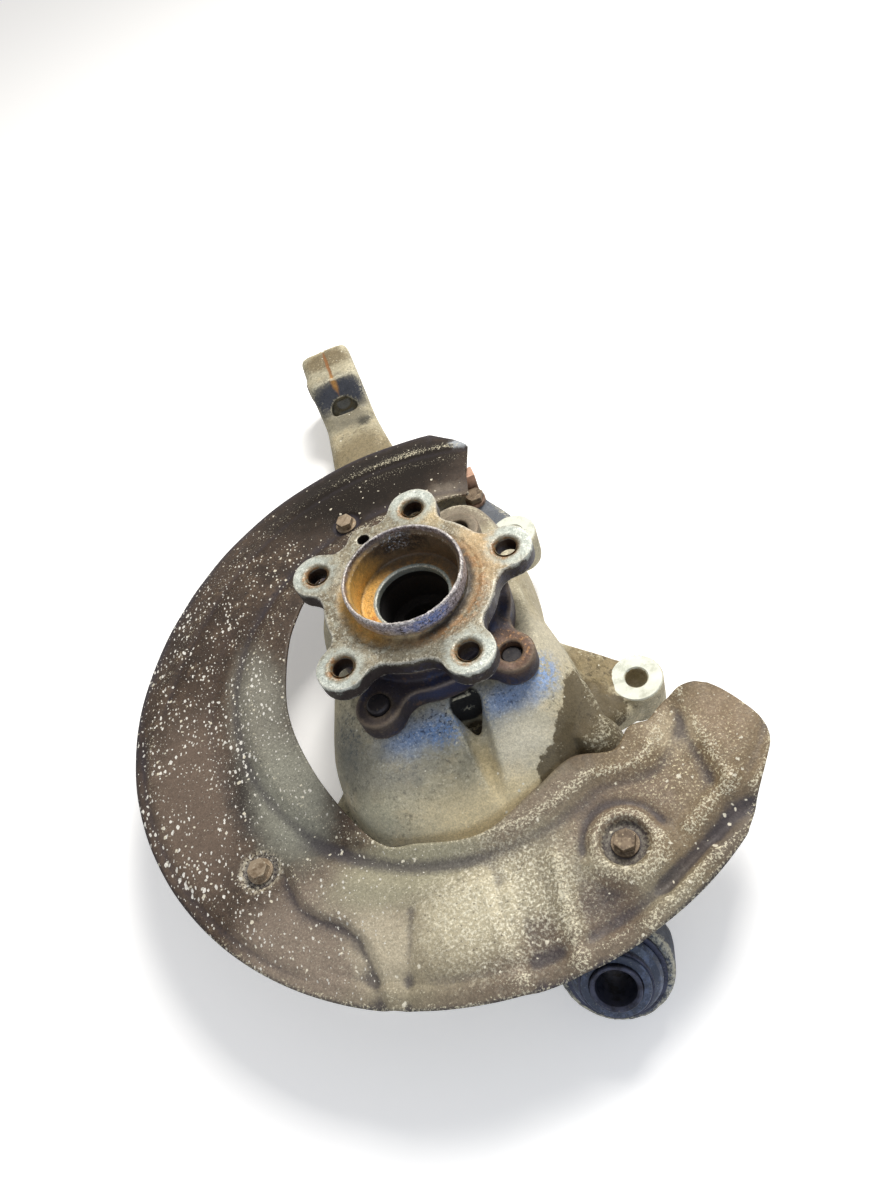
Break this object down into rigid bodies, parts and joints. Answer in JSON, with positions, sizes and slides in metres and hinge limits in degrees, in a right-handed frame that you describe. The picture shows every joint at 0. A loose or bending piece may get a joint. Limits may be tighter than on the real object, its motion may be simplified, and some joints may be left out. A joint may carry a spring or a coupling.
{
  "type": "steering knuckle",
  "caption": "Cast wheel carrier with a swan-neck clamp, flanged wheel hub in a bolted bearing, pressed splash shield, caliper ears and a hollow lower ball joint.",
  "frame": {"origin": "centre of the wheel bolt circle on the wheel flange face", "axes": "+Z along the hub axis to the wheel, +Y to the upper link clamp, +X to the brake caliper ears"},
  "size_m": [0.3351, 0.5484, 0.1422],
  "materials": {
    "cast_alloy": "cast, weathered and stained",
    "shield_steel": "pressed sheet, rust brown with worn speckles",
    "hub_steel": "forged and machined, worn, rust at the spigot",
    "bearing_steel": "forged, dark rust",
    "ball_steel": "ground and polished",
    "cage_plastic": "moulded",
    "seal_rubber": "moulded",
    "bolt_steel": "brown rust",
    "race_plastic": "moulded",
    "sleeve_steel": "turned, dull",
    "boot_rubber": "moulded, dusty",
    "ring_steel": "dull",
    "bracket_steel": "copper-coloured, dirty"
  },
  "bodies": {
    "carrier": {"knuckle": "cast_alloy", "splash_shield": "shield_steel", "shield_bolt_front": "bolt_steel", "shield_bolt_lower": "bolt_steel", "shield_bolt_upper": "bolt_steel", "bearing_outer_ring": "bearing_steel", "bearing_seal_outboard": "seal_rubber", "bearing_bolt_1": "bolt_steel", "bearing_bolt_2": "bolt_steel", "bearing_bolt_3": "bolt_steel", "bearing_bolt_4": "bolt_steel", "pinch_bolt": "bolt_steel", "joint_housing": "bearing_steel", "joint_race": "race_plastic", "joint_boot_outer": "boot_rubber", "joint_boot_inner": "boot_rubber", "joint_ring_outer": "ring_steel", "joint_ring_inner": "ring_steel", "hose_bracket": "bracket_steel", "hose_bracket_bolt": "bolt_steel"},
    "hub": {"hub": "hub_steel", "bearing_inner_ring": "bearing_steel", "bearing_encoder_seal": "seal_rubber"},
    "cage_outboard": {"ball_cage_outboard": "cage_plastic", "ball_row_outboard": "ball_steel"},
    "cage_inboard": {"ball_cage_inboard": "cage_plastic", "ball_row_inboard": "ball_steel"},
    "sleeve": {"joint_sleeve": "sleeve_steel"}
  },
  "joints": [
    {"name": "hub_spin", "type": "hinge", "parent": "carrier", "child": "hub", "pos_m": [0, 0, 0], "axis": [0, 0, 1], "continuous": true},
    {"name": "cage_outboard_spin", "type": "hinge", "parent": "carrier", "child": "cage_outboard", "pos_m": [0, 0, -0.033], "axis": [0, 0, 1], "continuous": true},
    {"name": "cage_inboard_spin", "type": "hinge", "parent": "carrier", "child": "cage_inboard", "pos_m": [0, 0, -0.063], "axis": [0, 0, 1], "continuous": true},
    {"name": "lower_sleeve_turn", "type": "hinge", "parent": "carrier", "child": "sleeve", "pos_m": [0.027, -0.1845, -0.10158], "axis": [-0.2402, -0.7205, 0.6505], "range_deg": [-45, 45]}
  ],
  "couplings": [
    {"joint": "cage_outboard_spin", "follows": "hub_spin", "ratio": 0.42},
    {"joint": "cage_inboard_spin", "follows": "hub_spin", "ratio": 0.42}
  ]
}
